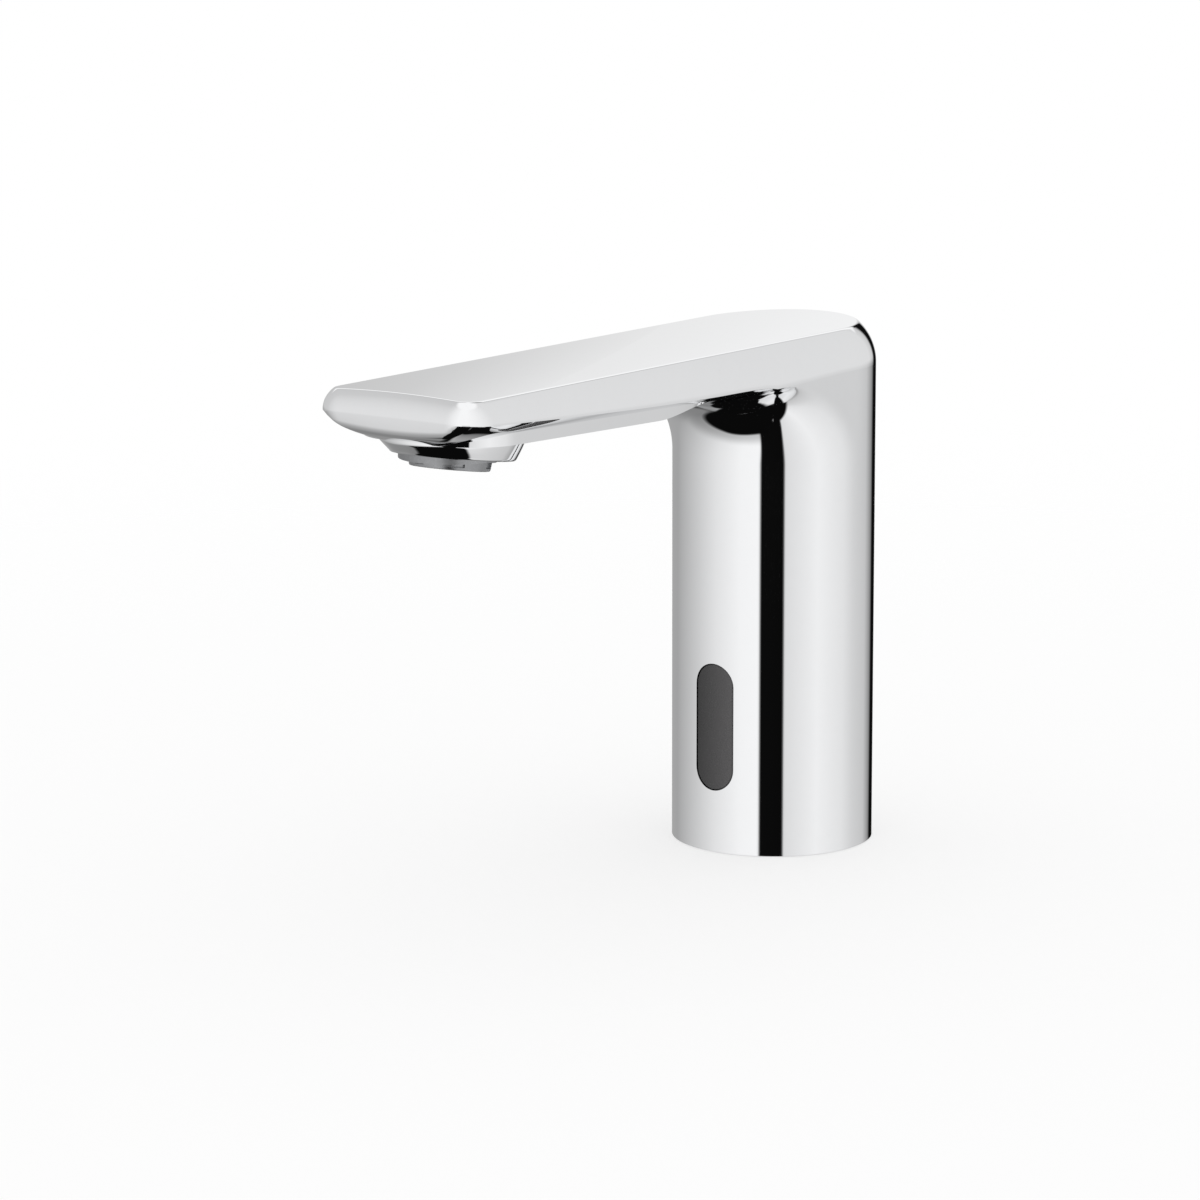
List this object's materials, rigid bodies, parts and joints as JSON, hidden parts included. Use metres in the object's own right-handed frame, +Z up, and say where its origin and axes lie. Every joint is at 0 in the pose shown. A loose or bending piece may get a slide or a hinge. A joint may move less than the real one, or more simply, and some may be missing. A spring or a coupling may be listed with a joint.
{
  "type": "sensor tap",
  "caption": "Deck-mounted sensor tap: round column with an infrared window on its front, a flat slab spout and a tilting aerated outlet, with the valve and battery inside.",
  "frame": {"origin": "centre of the column's base ring, on the face that stands on the deck", "axes": "+Z up along the column, the spout points along -Y, and the outside is symmetric about the YZ plane"},
  "size_m": [0.05, 0.171, 0.1298],
  "materials": {
    "chrome_body": "mirror polished",
    "chrome_outlet": "polished",
    "window_plastic": "satin dark, passes infrared",
    "seal_rubber": "matt black",
    "holder_plastic": "matt black",
    "board_laminate": "satin green",
    "steel": "bright",
    "brass": "machined",
    "valve_plastic": "satin off-white",
    "screen_plastic": "satin white",
    "diode": "clear dark",
    "copper_winding": "varnished copper wire under tape",
    "battery_sleeve": "smooth sleeve",
    "tube_plastic": "translucent white",
    "lead_sheath": "matt black sheath"
  },
  "bodies": {
    "tap": {"body_casting": "chrome_body", "sensor_window": "window_plastic", "window_gasket": "seal_rubber", "sensor_holder": "holder_plastic", "sensor_board": "board_laminate", "board_screws": "steel", "ir_emitter": "diode", "ir_receiver": "diode", "holder_screw": "steel", "base_plate": "brass", "base_screws": "steel", "deck_gasket": "seal_rubber", "inlet_strainer": "steel", "check_valve_cage": "valve_plastic", "check_valve_spring": "steel", "valve_body": "valve_plastic", "piston_spring": "steel", "valve_bonnet": "valve_plastic", "bonnet_screws": "steel", "guide_tube": "steel", "plunger_spring": "steel", "coil_bobbin": "holder_plastic", "coil_winding": "copper_winding", "coil_yoke": "steel", "coil_nut": "steel", "battery": "battery_sleeve", "battery_holder": "holder_plastic", "battery_cover": "holder_plastic", "water_tube": "tube_plastic", "outlet_elbow": "valve_plastic", "aerator_housing": "brass", "inlet_o_ring": "seal_rubber", "housing_o_ring": "seal_rubber", "elbow_o_ring": "seal_rubber", "coil_lead": "lead_sheath", "battery_lead": "lead_sheath"},
    "outlet": {"swivel_outlet": "chrome_outlet", "aerator_screen": "screen_plastic", "flow_regulator": "valve_plastic"},
    "piston": {"valve_piston": "valve_plastic", "piston_seal": "seal_rubber"},
    "plunger": {"plunger": "steel"},
    "poppet": {"check_valve_poppet": "valve_plastic"}
  },
  "joints": [
    {"name": "outlet_swivel", "type": "hinge", "parent": "tap", "child": "outlet", "pos_m": [0, -0.1245, 0.1168], "axis": [1, 0, 0], "range_deg": [0, 20]},
    {"name": "piston_slide", "type": "slide", "parent": "tap", "child": "piston", "axis": [0, 0, 1], "range_m": [0, 0.002], "stiffness_N_per_m": 60, "springref_m": -0.004, "deforming": ["piston_spring"]},
    {"name": "plunger_slide", "type": "slide", "parent": "tap", "child": "plunger", "axis": [0, 0, 1], "range_m": [0, 0.001], "stiffness_N_per_m": 80, "springref_m": -0.003, "deforming": ["plunger_spring"]},
    {"name": "poppet_slide", "type": "slide", "parent": "tap", "child": "poppet", "axis": [0, 0, 1], "range_m": [0, 0.0014], "stiffness_N_per_m": 30, "springref_m": -0.003, "deforming": ["check_valve_spring"]}
  ]
}
